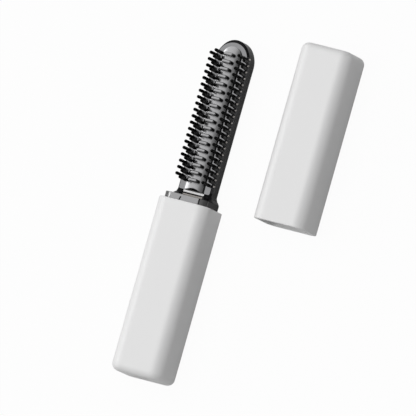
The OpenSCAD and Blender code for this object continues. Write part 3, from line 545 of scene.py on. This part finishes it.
def make_groove_glint():
    glint_strip = add_block("groove_glint_strip",
        (-GROOVE_X - GLINT_W / 2, TRIM_LOW.y, TRIM_HIGH.z - GLINT_T),
        (-GROOVE_X + GLINT_W / 2, TRIM_HIGH.y - GLINT_SHORT, TRIM_HIGH.z + GLINT_PROUD))
    soften(glint_strip, GLINT_EDGE, 2)
    place_piece(glint_strip, "white_block", "comb")


make_button()
make_socket()
make_screws()
make_glint_beads()
make_groove_glint()


# camera: far off with a long lens, so that parallel edges stay parallel as in the photograph
IMAGE = 416
PIXEL = 0.5376 * MM
LEAN = math.radians(15.82)
LENS, SENSOR = 1500.0, 36.0
AIM = Vector((10.02 * MM, 49.12 * MM, MID_Z))
# the picture's two directions before it leans: across the handle, and along it
ACROSS = Vector((0.9336, 0.0, -0.3584)).normalized()
ALONG = Vector((0.025, 0.9975, 0.065)).normalized()


def make_camera():
    right = ACROSS * math.cos(LEAN) + ALONG * math.sin(LEAN)
    back = ACROSS.cross(ALONG).normalized()
    right = (right - back * right.dot(back)).normalized()
    up = back.cross(right)
    data = bpy.data.cameras.new("camera")
    data.lens, data.sensor_width = LENS, SENSOR
    distance = IMAGE * PIXEL * LENS / SENSOR
    data.clip_start, data.clip_end = distance * 0.1, distance * 10
    camera = bpy.data.objects.new("camera", data)
    bpy.context.scene.collection.objects.link(camera)
    turn = Matrix((right, up, back)).transposed().to_4x4()
    camera.matrix_world = Matrix.Translation(AIM + back * distance) @ turn
    bpy.context.scene.camera = camera


# lamps: name, where it shines from, distance, width, height, level on a face square to it
LAMPS = (
    ("key", (-0.05, 0.02, 0.99), 1.3, 1.0, 1.0, 0.61),
    ("side_strip", (-0.87, 0.0, 0.35), 1.0, 0.2, 1.0, 0.18),
)


def make_lamp(name, towards, distance, width, height, level):
    """A soft lamp for matt surfaces. Gloss shows the world's surround in its place."""
    data = bpy.data.lights.new(name, "AREA")
    data.shape, data.size, data.size_y = "RECTANGLE", width, height
    data.energy = level * math.pi ** 2 * distance ** 2
    lamp = bpy.data.objects.new(name, data)
    bpy.context.scene.collection.objects.link(lamp)
    towards = Vector(towards).normalized()
    lamp.location = AIM + towards * distance
    lamp.rotation_euler = towards.to_track_quat("Z", "Y").to_euler()
    lamp.visible_glossy = False


# fill light: its level, how much it falls towards the right, and its least level
SKY_LEVEL, SKY_TILT, SKY_LEAST = 0.3, 0.85, 0.1
# what gloss shows of the studio: how far a ray goes to the right, and its share of the level
SURROUND = (
    (-1.0, 0.05), (-0.92, 0.15), (-0.87, 0.95), (-0.8, 0.95), (-0.74, 0.45), (-0.66, 0.36),
    (-0.27, 0.31), (-0.06, 0.25), (0.08, 0.14), (0.25, 0.06), (0.8, 0.04), (1.0, 0.1))
# its level, and how much darker it is towards the handle's end
SURROUND_LEVEL, SURROUND_FALL = 2.2, 0.85


def make_sky():
    world = bpy.data.worlds.new("studio")
    bpy.context.scene.world = world
    sky = Nodes(world)
    place = sky.node("ShaderNodeTexCoord", {}, {}, "Generated")
    across, along = sky.component(place, "X"), sky.component(place, "Y")
    fill = (1.0 - across * SKY_TILT) * SKY_LEVEL
    stops = [((x + 1) / 2, share) for x, share in SURROUND]
    fall = (along * SURROUND_FALL + 1.0).math("MINIMUM", 1.0)
    mirrored = sky.curve(across * 0.5 + 0.5, stops) * fall * SURROUND_LEVEL
    level = fill + sky.seen("Is Glossy Ray") * (mirrored - fill)
    shown = sky.seen("Is Camera Ray", "Is Transmission Ray")
    level = level.math("MAXIMUM", SKY_LEAST).math("MAXIMUM", shown)
    background = sky.tree.nodes["Background"]
    sky.plug(background.inputs["Color"], grey(1.0))
    sky.plug(background.inputs["Strength"], level)


FLOOR_SIZE, FLOOR_DROP = 6.0, 0.05 * MM
# the share of plain white that the camera sees in the floor. The rest keeps the shadow.
FLOOR_WHITE = 0.96


def make_floor():
    bpy.ops.mesh.primitive_plane_add(size=FLOOR_SIZE, location=(0, 0, -FLOOR_DROP))
    floor = bpy.context.active_object
    floor.name = "floor"
    pale = Finish("pale_floor", Base_Color=grey(0.66), Roughness=0.9, Specular_IOR_Level=0.0)
    white = pale.node("ShaderNodeEmission", {}, {})
    shaded = Value(pale, pale.shader.outputs[0])
    mix = pale.node("ShaderNodeMixShader", {}, {
        0: pale.seen("Is Camera Ray") * FLOOR_WHITE, 1: shaded, 2: white})
    pale.plug(pale.tree.nodes["Material Output"].inputs["Surface"], mix)
    floor.data.materials.append(pale.material)


make_camera()
for lamp_facts in LAMPS:
    make_lamp(*lamp_facts)
make_sky()
make_floor()
bpy.context.scene.view_settings.view_transform = "Standard"
